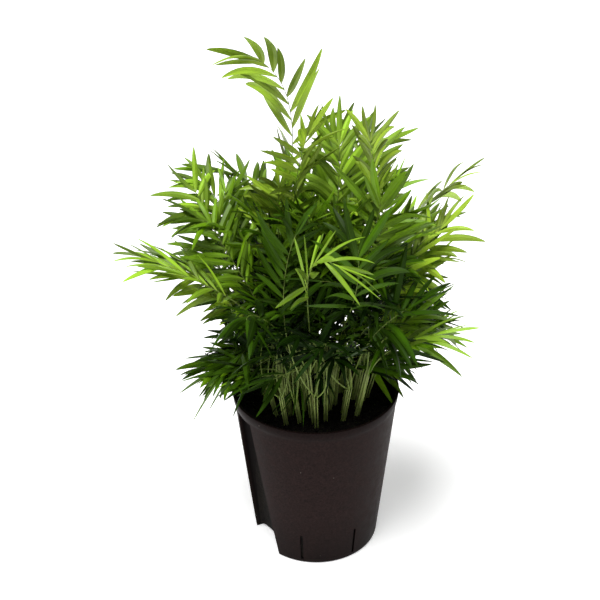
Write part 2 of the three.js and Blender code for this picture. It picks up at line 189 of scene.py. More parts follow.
# Smaller fronds that stand between the leading ones, mostly on the seedlings
SIDE_FRONDS = [
    # azimuth, reach, height, heading, pitch, bank, leaflet, tone
    (189, 124, 331, 204, 34, -21, 72, "bright"),
    (202, 82, 248, 247, 3, 14, 70, "dark"),
    (37, 156, 330, 19, 24, -15, 70, "young"),
    (19, 107, 252, 17, 31, 13, 76, "dark"),
    (70, 73, 436, 113, 69, 6, 76, "young"),
    (135, 123, 402, 143, 3, 12, 73, "light_mid"),
    (170, 63, 225, 211, 45, 34, 72, "deep"),
    (322, 118, 327, 28, 16, -22, 69, "dusky"),
    (14, 112, 333, 17, 62, 15, 74, "bright"),
    (155, 150, 305, 179, 21, 27, 73, "light_mid"),
    (162, 81, 221, 150, -9, -14, 61, "deep"),
    (204, 82, 235, 151, 8, 27, 70, "dark"),
    (342, 52, 226, 20, -8, 1, 72, "dark"),
    (131, 127, 332, 78, 47, -28, 76, "mid"),
    (183, 54, 230, 129, 21, -34, 75, "light_mid"),
    (25, 84, 213, 29, 21, 30, 61, "dark"),
    (52, 88, 438, 55, 10, 18, 73, "young"),
    (182, 82, 225, 159, 8, 27, 73, "dark"),
    (23, 61, 219, 4, 30, 24, 70, "dark"),
    (190, 87, 243, 135, -1, -5, 68, "dark"),
    (358, 100, 273, 10, 25, 15, 67, "light_mid"),
    (11, 116, 355, 38, 39, -22, 66, "bright"),
    (6, 64, 230, 21, 40, 5, 75, "dark"),
    (175, 45, 232, 139, 13, -18, 75, "deep"),
    (327, 74, 421, 276, 63, -35, 75, "light_mid"),
    (344, 69, 226, 12, -3, 7, 57, "dark"),
    (210, 84, 243, 149, 15, -3, 76, "dark"),
    (31, 106, 238, 358, 33, 14, 75, "dark"),
    (120, 98, 318, 114, 64, 21, 75, "dark"),
    (154, 89, 274, 128, 7, 20, 67, "young"),
    (351, 103, 258, 6, 8, -14, 64, "light_mid"),
    (166, 140, 309, 199, 25, -4, 76, "young"),
    (345, 71, 237, 348, -13, -17, 60, "dark"),
    (29, 109, 280, 7, 20, 35, 60, "dark"),
    (126, 108, 259, 142, 11, -28, 76, "dark"),
    (165, 58, 227, 197, 0, -27, 75, "dark"),
    (43, 133, 328, 30, 25, 16, 72, "young"),
    (39, 57, 218, 2, 20, 11, 72, "deep"),
    (149, 41, 230, 130, 24, -35, 71, "deep"),
    (175, 42, 243, 109, 35, -1, 74, "deep"),
    (12, 75, 212, 8, 9, 29, 54, "light_mid"),
    (20, 101, 269, 30, 20, 30, 72, "young"),
    (191, 59, 233, 194, 24, -29, 69, "dark"),
    (15, 101, 271, 50, 18, 22, 74, "young"),
    (154, 80, 221, 222, 14, -34, 56, "dark"),
    (183, 71, 229, 216, 3, -27, 54, "dark"),
    (122, 92, 370, 91, 75, 15, 74, "young"),
    (24, 109, 246, 348, 8, -26, 74, "dark"),
    (5, 103, 259, 42, 34, 28, 59, "light_mid"),
    (175, 74, 230, 195, 7, -32, 67, "dark"),
    (200, 47, 219, 182, 0, -7, 75, "dark"),
    (226, 79, 240, 152, 5, 33, 62, "dark"),
    (94, 26, 244, 93, 75, -23, 76, "deep"),
    (24, 54, 225, 8, 27, -28, 76, "dark"),
    (19, 63, 214, 29, 46, 21, 59, "light_mid"),
    (336, 26, 228, 7, 77, -7, 76, "deep"),
    (208, 88, 237, 183, 1, -5, 61, "light_mid"),
    (197, 97, 231, 244, 15, -16, 67, "mid"),
    (357, 113, 254, 338, 41, -24, 64, "young"),
    (246, 52, 214, 205, 0, 5, 36, "dusky"),
    (275, 45, 228, 268, -55, 0, 32, "deep"),
]

# Each set of filling fronds: how many, of how many tries, from which seed, centred on which side
# and over what share of the round, then its tiers: ranges of reach and height, pitch, leaflet, tone
FILLING_TURN = 30
FILLING_PITCH_SPREAD = 12
FILLING_BANK = 20
FAR_SIDE = {
    "name": "filling", "count": 13, "tries": 90, "seed": 62, "centre": 90, "share": 0.55,
    "tiers": [
        ((45, 95), (385, 440), 50, 60, "mid"),
        ((85, 125), (330, 390), 25, 60, "dark"),
        ((105, 140), (265, 320), 0, 58, "mid"),
        ((88, 118), (218, 250), -20, 54, "dark"),
    ],
}
# Painted shade: the inner fronds' tiers take darker tones, deepest low in the crown
ALL_ROUND = {
    "name": "inner", "count": 190, "tries": 420, "seed": 41, "centre": 0, "share": 1.0,
    "tiers": [
        ((15, 60), (340, 420), 50, 54, "dark"),
        ((50, 90), (290, 350), 20, 50, "deep"),
        ((20, 70), (270, 340), 35, 50, "deep"),
        ((45, 85), (262, 300), 10, 46, "deep"),
    ],
}

# Filling fronds whose tone differs from their tier's, partly as painted light and shade: paler for
# fronds in the light, darker for fronds in shade
TONE_OF_A_FILLING_FROND = {
    "filling_1": "bright", "inner_14": "bright",
    "filling_17": "young", "inner_5": "young", "inner_97": "young",
    "filling_5": "light_mid", "filling_6": "light_mid", "filling_13": "light_mid", "inner_13": "light_mid",
    "inner_22": "light_mid", "inner_41": "light_mid", "inner_177": "light_mid",
    "filling_14": "mid", "inner_6": "mid", "inner_9": "mid", "inner_15": "mid", "inner_33": "mid",
    "inner_93": "mid", "inner_201": "mid",
    "inner_2": "dark", "inner_10": "dark", "inner_30": "dark", "inner_46": "dark",
    "inner_64": "dark", "inner_75": "dark", "inner_86": "dark", "inner_106": "dark",
    "inner_174": "dark",
    "inner_4": "dusky", "inner_36": "dusky", "inner_54": "dusky", "inner_182": "dusky",
}

# Petioles, each running on as its frond's rachis: radii at shares of their length
PETIOLE_RADII = (0.72, 0.6, 0.5, 0.28)
PETIOLE_AT = (0.0, 0.275, 0.525, 1.0)
PETIOLE_STEPS = 34
PETIOLE_SIDES = 7

# Sheaths, one round each petiole's foot, bundled tightly where the stem meets the medium
SHEATH_RADII = (1.3, 0.72)
SHEATH_STEPS = 7
SHEATH_SIDES = 10
SHEATH_SUNK = 6
SHEATH_LAP = 2
SHEATH_FOOT_OFFSET = 1.7

# Leaflets
BLADE_SHARE = 0.45
LEAFLET_SPACING = 0.16
CREST_SPACING = 0.2
MOST_PAIRS = 13
LEAFLET_WIDTH = 0.115
LEAFLET_THICKNESS = 0.005
THINNEST_SHARE = 0.3
LEAST_SIZE = 0.62
SIZE_SWELL = (0.12, 0.72)
PAIR_STAGGER = 0.25
SPREAD_ANGLE = (58, 34)
FORK_ANGLE = 16
FORK_LENGTH = 0.82
FORK_DEPTH = 2
LEAFLET_RAISE = 12
LEAFLET_SAG = (0.02, 0.6)
SAG_OF_AN_UPRIGHT_LEAFLET = 0.55
ANGLE_VARIATION = 17
RAISE_VARIATION = 26
LENGTH_VARIATION = (0.78, 1.2)
LEAFLET_SEED = 1000
SHADE_SEED = 77
SWEEP = (-0.02, 0.2)
TWIST = 55
FOLD = 0.42

# A blade from root to tip, then round its section: where each point stands and on which face
STATIONS = np.array([0, 0.04, 0.10, 0.19, 0.30, 0.43, 0.56, 0.68, 0.79, 0.88, 0.95, 1.0])
HALF_WIDTHS = np.array([0.16, 0.34, 0.58, 0.82, 0.97, 1.0, 0.95, 0.83, 0.66, 0.46, 0.26, 0.0])
ACROSS = np.array([-1, -0.5, 0, 0.5, 1, 0.5, 0, -0.5])
SIDE_OF_BLADE = np.array([0, 1, 1, 1, 0, -1, -1, -1])
LEAFLET_CREASE = 20
SMOOTH_ALL_OVER = 180

# Finishes. A stop is a place on a scale with a shade that darkens, lightens or blends there. A grain
# is the scale, detail and roughness of a noise. A bump is its strength and its height in metres.

# Leaflets: colour, paler colour and gloss of each kind, then what they share. The kinds run from
# light to dark and are dealt out frond by frond: partly the leaves' own colour, partly painted light
# on fronds out in the light and painted shade on fronds deep in the crown.
TONES = {
    "crest": ((0.30, 0.47, 0.025), (0.44, 0.58, 0.09), 0.3),
    "bright": ((0.285, 0.435, 0.028), (0.40, 0.53, 0.09), 0.3),
    "young": ((0.21, 0.37, 0.018), (0.33, 0.47, 0.06), 0.3),
    "light_mid": ((0.145, 0.285, 0.007), (0.24, 0.40, 0.03), 0.25),
    "mid": ((0.092, 0.192, 0.003), (0.17, 0.30, 0.02), 0.18),
    "dark": ((0.036, 0.089, 0.0015), (0.07, 0.145, 0.012), 0.1),
    "dusky": ((0.0185, 0.050, 0.001), (0.04, 0.09, 0.008), 0.07),
    "deep": ((0.007, 0.022, 0.001), (0.018, 0.044, 0.005), 0.05),
}
LEAF_ROUGHNESS = 0.42
MIDRIB_STOPS = ((0.45, 0), (0.5, 0.4), (0.55, 0))
# Painted shade: each leaflet darkens towards its margins, for the dark gaps between leaflets
MARGIN_SHADE_STOPS = ((0, 0.72), (0.15, 1), (0.85, 1), (1, 0.72))
ROOT_STOPS = ((0, 0.55), (0.3, 0))
VEIN_PITCH = (46, 1.2, 1)
PATCH_PITCH = (30, 30, 30)
UNEVEN_STOPS = ((0.3, 0.72), (0.7, 1.2))
LEAFLET_STOPS = ((0, 0.42), (0.6, 0.95), (1, 1.7))
LEAF_BUMP = (0.35, 0.0003)

# Petioles and sheaths: colour, paler colour and brownish colour of each, then what they share
PETIOLE_GREENS = ((0.16, 0.25, 0.03), (0.28, 0.38, 0.08), (0.14, 0.13, 0.03))
SHEATH_GREENS = ((0.20, 0.285, 0.05), (0.41, 0.50, 0.16), (0.16, 0.14, 0.05))
SHEATH_ROUGHNESS = 0.5
SHEATH_GLOSS = 0.25
STREAK_PITCH = (900, 900, 22)
STREAK_STOPS = ((0.35, 0), (0.65, 1))
# Brighter below the rim than above: the sheaths' own paler foot, and painted light where the pot's
# mouth shades them
PALE_LIT_FOOT_STOPS = ((0.17, 1.3), (0.225, 0.62))
BROWN_PITCH = (60, 60, 40)
BROWN_STOPS = ((0.6, 0), (0.75, 0.6))
SHEATH_BUMP = (0.4, 0.0004)

# Plastic of the pot
PLASTIC_ROUGHNESS = 0.5
PLASTIC_GLOSS = 0.035
PLASTIC_GRAIN = (480, 3.0, 0.65)
PLASTIC_BROWNS = ((0.3, (0.0103, 0.0056, 0.0052)), (0.7, (0.0222, 0.0122, 0.0112)))
MOTTLE_GRAIN = (120, 4.0, 0.6)
MOTTLE_STOPS = ((0.3, 0.82), (0.7, 1.15))
ROUGHNESS_STOPS = ((0.3, 0.42), (0.7, 0.58))
# Painted shade: the colour darkens towards the foot; the band at the top is darker too
FOOT_SHADE_AND_DARK_BAND_STOPS = ((0, 0.5), (0.35, 0.95), (0.92, 0.95), (0.95, 0.6))
# Painted shade: the colour in the recess and inside the pot is darkened to this share
HOLLOW_SHADE_STOPS = ((0, 1), (0.9, 0.22))
DUST = (0.16, 0.14, 0.12)
SPECK_PITCH = 95
SPECK_STOPS = ((0.035, 1), (0.06, 0))
DUSTY_GRAIN = (70, 0.0, 0.5)
DUSTY_STOPS = ((0.6, 0), (0.62, 1))
PLASTIC_BUMP = (0.25, 0.0003)

# Moist clay, coloured nearly black: partly its own colour, partly painted shade under the crown
CLAY_ROUGHNESS = 0.85
CLAY_GLOSS = 0.12
CLAY_GRAIN = (160, 3.0, 0.6)
CLAY_BROWNS = ((0.3, (0.0022, 0.0018, 0.0016)), (0.66, (0.009, 0.0065, 0.005)))
PIT_GRAIN = (1400, 4.0, 0.65)
CLAY_BUMP = (0.6, 0.0006)


def mix(a, b, t):
    return a + (b - a) * t


def unit(vector):
    return vector / np.linalg.norm(vector)


def polar(azimuth, elevation=0.0):
    """A direction one long, from its azimuth and its elevation in degrees."""
    a, e = math.radians(azimuth), math.radians(elevation)
    return np.array([math.cos(a) * math.cos(e), math.sin(a) * math.cos(e), math.sin(e)])


def turn_between(a, b):
    """The smaller angle between two azimuths."""
    return abs((a - b + 180) % 360 - 180)


def dice(seed):
    """A seeded source of numbers between low and high."""
    state = seed

    def roll(low, high):
        nonlocal state
        state = state * DICE_FACTOR % DICE_LIMIT
        return low + (high - low) * state / DICE_LIMIT

    return roll


def across(vector, direction):
    """The part of a vector that stands square to a direction, made one long."""
    return unit(vector - direction * np.dot(vector, direction))


# --- growth rule ---------------------------------------------------------------------------------


def bezier(p, t):
    """Points of a cubic curve at shares t of its parameter."""
    t = np.asarray(t, float)[:, None]
    s = 1 - t
    return s**3 * p[0] + 3 * s**2 * t * p[1] + 3 * s * t**2 * p[2] + t**3 * p[3]


def bezier_tangent(p, t):
    s = 1 - t
    return unit(s**2 * (p[1] - p[0]) + 2 * s * t * (p[2] - p[1]) + t**2 * (p[3] - p[2]))


def run_along(points):
    """The length of a path up to each of its points."""
    return np.concatenate([[0], np.cumsum(np.linalg.norm(np.diff(points, axis=0), axis=1))])


class Palm:
    """The plant's plan: stems, and fronds whose petioles keep clear of each other."""

    def __init__(self):
        self.stems = []
        self.paths = []
        self.fronds = []

    def add_stem(self, out, azimuth, roll, lengths):
        """A stem that leans out the more, the further out it stands."""
        foot = polar(azimuth) * out + UP * STEM_FOOT
        lean = STEM_LEAN * out / STEM_SPREAD + roll(-STEM_LEAN_SPREAD, STEM_LEAN_SPREAD)
        length = roll(*lengths)
        axis = polar(azimuth + roll(-STEM_TURN_SPREAD, STEM_TURN_SPREAD), 90 - lean)
        top = foot + axis * length
        places = [azimuth + turn for turn in FROND_PLACES]
        stem = {"foot": foot, "top": top, "places": places, "strands": []}
        self.stems.append(stem)
        share = np.linspace(0, 1, STEM_SAMPLES)[:, None]
        self.paths.append((foot + (top - foot) * share, stem, STEM_EXTRA))

    def stem_under(self, azimuth, reach):
        """The stem with a free place that suits a frond best, or None."""
        wanted = polar(azimuth) * min(reach * FOOT_SHARE_OF_REACH, STEM_SPREAD)

        def cost(stem):
            neighbours = len(FROND_PLACES) - len(stem["places"])
            return math.dist(stem["foot"][:2], wanted[:2]) + COST_OF_A_NEIGHBOUR * neighbours

        return min((stem for stem in self.stems if stem["places"]), key=cost, default=None)

    def is_clear(self, points, stem):
        """Whether a new petiole keeps its distance from every stem and petiole so far."""
        run = run_along(points)
        beside = np.minimum(PATH_CLEARANCE, SHEATH_CLEARANCE + CLEARANCE_GROWTH * run)[:, None]
        room = PATH_CLEARANCE + STEM_EXTRA
        low, high = points.min(0) - room, points.max(0) + room
        squares = (points * points).sum(1)[:, None]
        for other, owner, extra in self.paths:
            if owner is stem and extra:
                continue
            if (other.min(0) > high).any() or (other.max(0) < low).any():
                continue
            need = beside if owner is stem else PATH_CLEARANCE + extra
            apart = squares + (other * other).sum(1)[None] - 2 * points @ other.T
            if (apart < need * need).any():
                return False
        return True

    def grow(self, name, azimuth, reach, height, heading, pitch, bank, leaflet, tone):
        """A frond with its tip at a place, nudged sideways until its petiole is clear."""
        stem = self.stem_under(azimuth, reach)
        if stem is None:
            return
        tip = polar(azimuth) * reach + UP * height
        away = tip - stem["top"]
        toward = math.degrees(math.atan2(away[1], away[0]))
        stem["places"].sort(key=lambda place: turn_between(place, toward))
        rise = MOST_RISE - RISE_LOSS * reach / (height - SOIL)
        sideways = polar(toward + 90)
        for k in range(NUDGE_TRIES):
            nudge = NUDGE * ((k + 1) // 2) * (1 if k % 2 else -1)
            base = polar(stem["places"][0]) * SHEATH_OFFSET + stem["top"] + UP * BASE_GAP
            chord = np.linalg.norm(tip - base)
            leave = base + polar(toward, rise) * RISE_SHARE * chord + sideways * nudge
            arrive = tip - polar(heading, pitch) * REACH_SHARE * chord + sideways * nudge / 2
            curve = (base, leave, arrive, tip)
            points = bezier(curve, np.linspace(0, 1, PATH_SAMPLES))
            if not self.is_clear(points, stem):
                continue
            place = stem["places"].pop(0)
            stem["strands"].append(place)
            self.paths.append((points, stem, 0))
            self.fronds.append({
                "name": name, "curve": curve, "points": points, "heading": heading, "bank": bank,
                "leaflet": leaflet, "tone": tone, "number": len(self.fronds),
            })
            return

    def fill(self, name, count, tries, seed, centre, share, tiers):
        """Fronds set round the crown tier by tier, until there are enough."""
        roll = dice(seed)
        wanted = len(self.fronds) + count
        for i in range(tries):
            if len(self.fronds) >= wanted:
                break
            reaches, heights, pitch, leaflet, tone = tiers[i % len(tiers)]
            azimuth = centre + share * ((i * GOLDEN_ANGLE) % 360 - 180)
            reach = roll(*reaches)
            height = roll(*heights)
            heading = azimuth + roll(-FILLING_TURN, FILLING_TURN)
            pitched = pitch + roll(-FILLING_PITCH_SPREAD, FILLING_PITCH_SPREAD)
            bank = roll(-FILLING_BANK, FILLING_BANK)
            frond = f"{name}_{i + 1}"
            tone = TONE_OF_A_FILLING_FROND.get(frond, tone)
            self.grow(frond, azimuth, reach, height, heading, pitched, bank, leaflet, tone)


def plan_the_palm():
    """The whole plant in its order of growth: the model's own stems and fronds come first."""
    palm = Palm()
    roll = dice(STEM_SEED)
    for i in range(STEM_COUNT):
        out = STEM_SPREAD * math.sqrt((i + 0.5) / STEM_COUNT)
        palm.add_stem(out, STEM_FIRST_AZIMUTH + i * GOLDEN_ANGLE, roll, STEM_LENGTH)
    for row in LEADING_FRONDS:
        palm.grow(*row)
    palm.fill(**FAR_SIDE)
    roll = dice(SEEDLING_SEED)
    for i in range(SEEDLING_COUNT):
        out = STEM_SPREAD * math.sqrt((i + 0.5) / SEEDLING_COUNT)
        azimuth = SEEDLING_FIRST_AZIMUTH + i * GOLDEN_ANGLE
        foot = polar(azimuth) * out
        if all(math.dist(stem["foot"][:2], foot[:2]) > SEEDLING_ROOM for stem in palm.stems):
            palm.add_stem(out, azimuth, roll, SEEDLING_LENGTH)
    for i, row in enumerate(SIDE_FRONDS):
        palm.grow(f"side_{i + 1}", *row)
    palm.fill(**ALL_ROUND)
    return palm


# --- meshes --------------------------------------------------------------------------------------


def make_piece(name, mesh, surface):
    piece = bpy.data.objects.new(name, mesh)
    bpy.context.scene.collection.objects.link(piece)
    mesh.materials.append(surface)
    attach(piece, "root")
    return piece


def mesh_from_arrays(name, vertices, faces, uv, crease):
    """A smooth mesh with one UV for each vertex, sharp where its faces turn by more than crease."""
    mesh = bpy.data.meshes.new(name)
    mesh.from_pydata(vertices.tolist(), [], faces)
    mesh.shade_smooth()
    mesh.set_sharp_from_angle(angle=math.radians(crease))
    corners = np.empty(len(mesh.loops), np.int32)
    mesh.loops.foreach_get("vertex_index", corners)
    layer = mesh.uv_layers.new(name="along_the_leaf")
    layer.data.foreach_set("uv", uv[corners].astype(np.float32).ravel())
    return mesh


def blade_faces(leaf_count):
    """Faces of many leaflets: rings of eight from root to tip, and a single vertex at the tip."""
    rings, ring = len(STATIONS) - 1, len(ACROSS)
    one = [list(range(ring))]
    for i in range(rings - 1):
        for k in range(ring):
            here, after = i * ring + k, i * ring + (k + 1) % ring
            one.append([here, here + ring, after + ring, after])
    last, tip = (rings - 1) * ring, rings * ring
    one += [[last + k, tip, last + (k + 1) % ring] for k in range(ring)]
    size = tip + 1
    return [[v + n * size for v in face] for n in range(leaf_count) for face in one]


def leaflet_places(frond):
    """Where a frond's leaflets stand: share of the rachis, hand, angle and size."""
    points = frond["points"]
    length = np.linalg.norm(np.diff(points, axis=0), axis=1).sum()
    spacing = frond["leaflet"] * (CREST_SPACING if frond["tone"] == "crest" else LEAFLET_SPACING)
    pairs = min(MOST_PAIRS, max(1, round(BLADE_SHARE * length / spacing)))
    blade = pairs * spacing / length
    for i in range(pairs):
        for hand in (-1, 1):
            up = (i + 0.5 + PAIR_STAGGER * hand) / pairs
            swell = math.sin(math.pi * (SIZE_SWELL[0] + SIZE_SWELL[1] * up))
            yield 1 - blade * (1 - up), hand, mix(*SPREAD_ANGLE, up), mix(LEAST_SIZE, 1, swell)
    for hand in (-1, 1):
        yield 1 - FORK_DEPTH / length, hand, FORK_ANGLE, FORK_LENGTH


def frond_leaflets(frond):
    """Root, direction, widthways, forward, length, droop, sweep and twist of each leaflet."""
    roll = dice(LEAFLET_SEED + frond["number"])
    points, curve = frond["points"], frond["curve"]
    run = run_along(points)
    steps = np.linspace(0, 1, PATH_SAMPLES)
    for share, hand, angle, size in leaflet_places(frond):
        t = float(np.interp(share * run[-1], run, steps))
        root = bezier(curve, [t])[0]
        forward = bezier_tangent(curve, t)
        side = across(polar(frond["heading"] + 90, frond["bank"]), forward)
        upper = np.cross(forward, side)
        spread = math.radians(angle + roll(-ANGLE_VARIATION, ANGLE_VARIATION))
        length = frond["leaflet"] * size * roll(*LENGTH_VARIATION)
        lift = math.radians(LEAFLET_RAISE + roll(-RAISE_VARIATION, RAISE_VARIATION))
        sag = roll(*LEAFLET_SAG)
        sweep = roll(*SWEEP)
        twist = math.radians(roll(-TWIST, TWIST))
        direction = (
            forward * math.cos(spread)
            + side * hand * math.cos(lift) * math.sin(spread)
            + upper * math.sin(lift) * math.sin(spread)
        )
        droop = sag * mix(SAG_OF_AN_UPRIGHT_LEAFLET, 1, math.hypot(direction[0], direction[1]))
        widthways = unit(np.cross(upper, direction))
        yield root, direction, widthways, across(forward, direction), length, droop, sweep, twist


def blade_vertices(leaves):
    """Vertices and UVs of many leaflets at once."""
    columns = list(zip(*leaves))
    root, direction, widthways, forward = (np.array(c)[:, None, :] for c in columns[:4])
    length, droop, sweep, twist = (np.array(c)[:, None, None] for c in columns[4:])
    s = STATIONS[None, :, None]
    centre = root + length * (direction * s + forward * sweep * s**2 - UP * droop * s**2)
    along = direction + 2 * forward * sweep * s - 2 * UP * droop * s
    along /= np.linalg.norm(along, axis=2, keepdims=True)
    flat = widthways - along * (widthways * along).sum(2, keepdims=True)
    flat /= np.linalg.norm(flat, axis=2, keepdims=True)
    normal = np.cross(along, flat)
    width_way = flat * np.cos(twist * s) + normal * np.sin(twist * s)
    face_way = normal * np.cos(twist * s) - flat * np.sin(twist * s)
    profile = HALF_WIDTHS[None, :, None]
    half = length * LEAFLET_WIDTH / 2 * profile
    thick = length * LEAFLET_THICKNESS * np.maximum(profile, THINNEST_SHARE)
    aside = ACROSS[None, None, :, None]
    face = SIDE_OF_BLADE[None, None, :, None]
    rise = face * thick[:, :, None] - FOLD * np.abs(aside) * half[:, :, None]
    rings = (
        centre[:, :, None]
        + width_way[:, :, None] * aside * half[:, :, None]
        + face_way[:, :, None] * rise
    )
    body = rings[:, :-1].reshape(len(leaves), -1, 3)
    vertices = np.concatenate([body, centre[:, -1:]], axis=1).reshape(-1, 3) * MM
    u = np.tile((ACROSS + 1) / 2, len(STATIONS) - 1)
    v = np.repeat(STATIONS[:-1], len(ACROSS))
    one = np.stack([np.append(u, 0.5), np.append(v, 1.0)], axis=1)
    return vertices, np.tile(one, (len(leaves), 1))


def make_leaflets(palm, tone, surface):
    """All leaflets of one tone as one piece, each with its own shade."""
    fronds = [frond for frond in palm.fronds if frond["tone"] == tone]
    leaves = [leaf for frond in fronds for leaf in frond_leaflets(frond)]
    vertices, uv = blade_vertices(leaves)
    faces = blade_faces(len(leaves))
    mesh = mesh_from_arrays(f"leaflets_{tone}", vertices, faces, uv, LEAFLET_CREASE)
    roll = dice(SHADE_SEED)
    shades = np.repeat([roll(0, 1) for _ in leaves], len(vertices) // len(leaves))
    layer = mesh.attributes.new("shade", "FLOAT", "POINT")
    layer.data.foreach_set("value", shades.astype(np.float32))
    piece = make_piece(f"leaflets_{tone}", mesh, surface)
    stood_for = [f"frond_{frond['name']}" for frond in fronds]
    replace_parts(piece, *(node for node in stood_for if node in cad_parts))


def tube(points, radii, sides):
    """Vertices, faces and UVs of one closed round tube along points."""
    along = np.gradient(points, axis=0)
    along /= np.linalg.norm(along, axis=1)[:, None]
    first = across(np.array([1.0, 0.0, 0.0]), along[0])
    vertices, uv = [], []
    for i, (point, way) in enumerate(zip(points, along)):
        first = across(first, way)
        second = np.cross(way, first)
        for k in range(sides):
            turn = 2 * math.pi * k / sides
            vertices.append(point + radii[i] * (first * math.cos(turn) + second * math.sin(turn)))
            uv.append((abs(2 * k / sides - 1), i / (len(points) - 1)))
    faces = [list(range(sides - 1, -1, -1))]
    for i in range(len(points) - 1):
        for k in range(sides):
            here, after = i * sides + k, i * sides + (k + 1) % sides
            faces.append([here, after, after + sides, here + sides])
    last = (len(points) - 1) * sides
    faces.append([last + k for k in range(sides)])
    return np.array(vertices), faces, np.array(uv)


def join_shapes(name, shapes, surface):
    """One piece of many closed shapes, each given as vertices, faces and UVs."""
    vertices, faces, uvs, start = [], [], [], 0
    for points, some_faces, uv in shapes:
        vertices.append(points * MM)
        uvs.append(uv)
        faces += [[v + start for v in face] for face in some_faces]
        start += len(points)
    vertices, uvs = np.concatenate(vertices), np.concatenate(uvs)
    mesh = mesh_from_arrays(name, vertices, faces, uvs, SMOOTH_ALL_OVER)
    return make_piece(name, mesh, surface)


def make_stems(palm, surface):
    """Each stem is a bundle of the sheaths that its petioles grow from."""
    tubes = []
    for i, stem in enumerate(palm.stems):
        girth = 1 if i < STEM_COUNT else SEEDLING_GIRTH
        for place in stem["strands"] or FROND_PLACES[:1]:
            foot = stem["foot"] + polar(place) * SHEATH_FOOT_OFFSET - UP * SHEATH_SUNK
            top = stem["top"] + polar(place) * SHEATH_OFFSET + UP * (BASE_GAP + SHEATH_LAP)
            share = np.linspace(0, 1, SHEATH_STEPS)[:, None]
            points = foot + (top - foot) * share
            radii = girth * mix(*SHEATH_RADII, share[:, 0])
            tubes.append(tube(points, radii, SHEATH_SIDES))
    piece = join_shapes("stems", tubes, surface)
    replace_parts(piece, *(f"stem_{i + 1}" for i in range(STEM_COUNT)))


def make_petioles(palm, surface):
    """Every frond's petiole and rachis, as one tapering tube along its curve."""
    tubes = []
    for frond in palm.fronds:
        share = np.linspace(0, 1, PETIOLE_STEPS)
        points = bezier(frond["curve"], share)
        radii = np.interp(share, PETIOLE_AT, PETIOLE_RADII)
        tubes.append(tube(points, radii, PETIOLE_SIDES))
    join_shapes("petioles", tubes, surface)


# --- pot -----------------------------------------------------------------------------------------


def pot_radius(height):
    return mix(FOOT_RADIUS, TOP_RADIUS, height / POT_HEIGHT)


def wall_azimuths():
    """Azimuths from the recess of the wall's plain columns, with one at each edge of each slot."""
    half = math.degrees(SLOT_WIDTH / 2 / pot_radius((SLOT_FROM + SLOT_TO) / 2))
    edges = sorted(turn % 360 + side * half for turn in SLOT_TURNS for side in (-1, 1))
    stops = [LIP_ANGLE, *edges, 360 - LIP_ANGLE]
    azimuths = []
    for start, end in zip(stops, stops[1:]):
        count = max(1, round((end - start) / WALL_COLUMN_PITCH))
        azimuths += [mix(start, end, k / count) for k in range(count)]
    return azimuths + [stops[-1]]


def pot_outline(height, radius, margin, open_recess):
    """The pot's closed outline at a height: plain wall, lip, recess, lip, with the same columns."""
    share = min(1, height / RECESS_TOP)
    half_width = mix(*RECESS_HALF_WIDTH, share) + margin
    depth = mix(*RECESS_DEPTH, share) + margin
    lip = math.degrees(math.asin(half_width / radius))
    azimuths = wall_azimuths()
    azimuths += [360 - mix(LIP_ANGLE, lip, (k + 1) / LIP_COLUMNS) for k in range(LIP_COLUMNS)]
    points = [polar(RECESS_AZIMUTH + a) * radius for a in azimuths]
    outward, sideways = polar(RECESS_AZIMUTH), polar(RECESS_AZIMUTH + 90)
    for k in range(1, RECESS_COLUMNS):
        turn = math.pi * (1 - k / RECESS_COLUMNS)
        across_recess = half_width * math.cos(turn)
        if open_recess:
            out = radius * math.cos(math.radians(lip)) - depth * math.sqrt(math.sin(turn))
        else:
            out = math.sqrt(radius**2 - across_recess**2)
        points.append(outward * out + sideways * across_recess)
    lips = [mix(lip, LIP_ANGLE, k / LIP_COLUMNS) for k in range(LIP_COLUMNS)]
    points += [polar(RECESS_AZIMUTH + a) * radius for a in lips]
    return [Vector(point + UP * height) for point in points]


def pot_hollow_shades(margin, open_recess):
    """1 at each column of an outline that lies in the recess or inside the pot, where the colour is
    darkened as painted shade, else 0.
    """
    if margin:
        return [1.0] * (len(wall_azimuths()) + 2 * LIP_COLUMNS + RECESS_COLUMNS - 1)
    wall = [0.0] * (len(wall_azimuths()) + LIP_COLUMNS)
    return wall + [float(open_recess)] * (RECESS_COLUMNS - 1) + [0.0] * LIP_COLUMNS


def pot_levels():
    """Every outline from the underside up the outer skin, over the rim and down the inside.

    Each has its height, radius, margin round the recess, and whether the recess is open there.
    """
    band_foot = POT_HEIGHT - BAND_HEIGHT
    for share in FOOT_SHARES:
        turn = share * math.pi / 2
        height = FOOT_ROUNDING * (1 - math.cos(turn))
        yield height, pot_radius(height) - FOOT_ROUNDING * (1 - math.sin(turn)), 0, True
    for height in SLOT_HEIGHTS:
        yield height, pot_radius(height), 0, True
    for share in WALL_SHARES:
        height = mix(SLOT_TO, RECESS_TOP, share)
        yield height, pot_radius(height), 0, True
    yield RECESS_TOP, pot_radius(RECESS_TOP), 0, False
    for step, share in BAND_STEPS:
        yield band_foot + step, pot_radius(band_foot) + BAND_PROUD * share, 0, False
    top_out, top_in = TOP_RADIUS + BAND_PROUD, TOP_RADIUS - WALL
    for share in RIM_SHARES:
        turn = share * math.pi / 2
        height = POT_HEIGHT - RIM_ROUNDING * (1 - math.sin(turn))
        yield height, top_out - RIM_ROUNDING * (1 - math.cos(turn)), 0, False
    for share in RIM_SHARES:
        turn = share * math.pi / 2
        height = POT_HEIGHT - RIM_ROUNDING * (1 - math.cos(turn))
        yield height, top_in + RIM_ROUNDING * (1 - math.sin(turn)), 0, False
    ceiling = RECESS_TOP + WALL
    yield ceiling, pot_radius(ceiling) - WALL, WALL, False
    yield ceiling - CEILING_STEP, pot_radius(ceiling) - WALL, WALL, True
    for height in INNER_HEIGHTS:
        yield height, pot_radius(height) - WALL, WALL, True


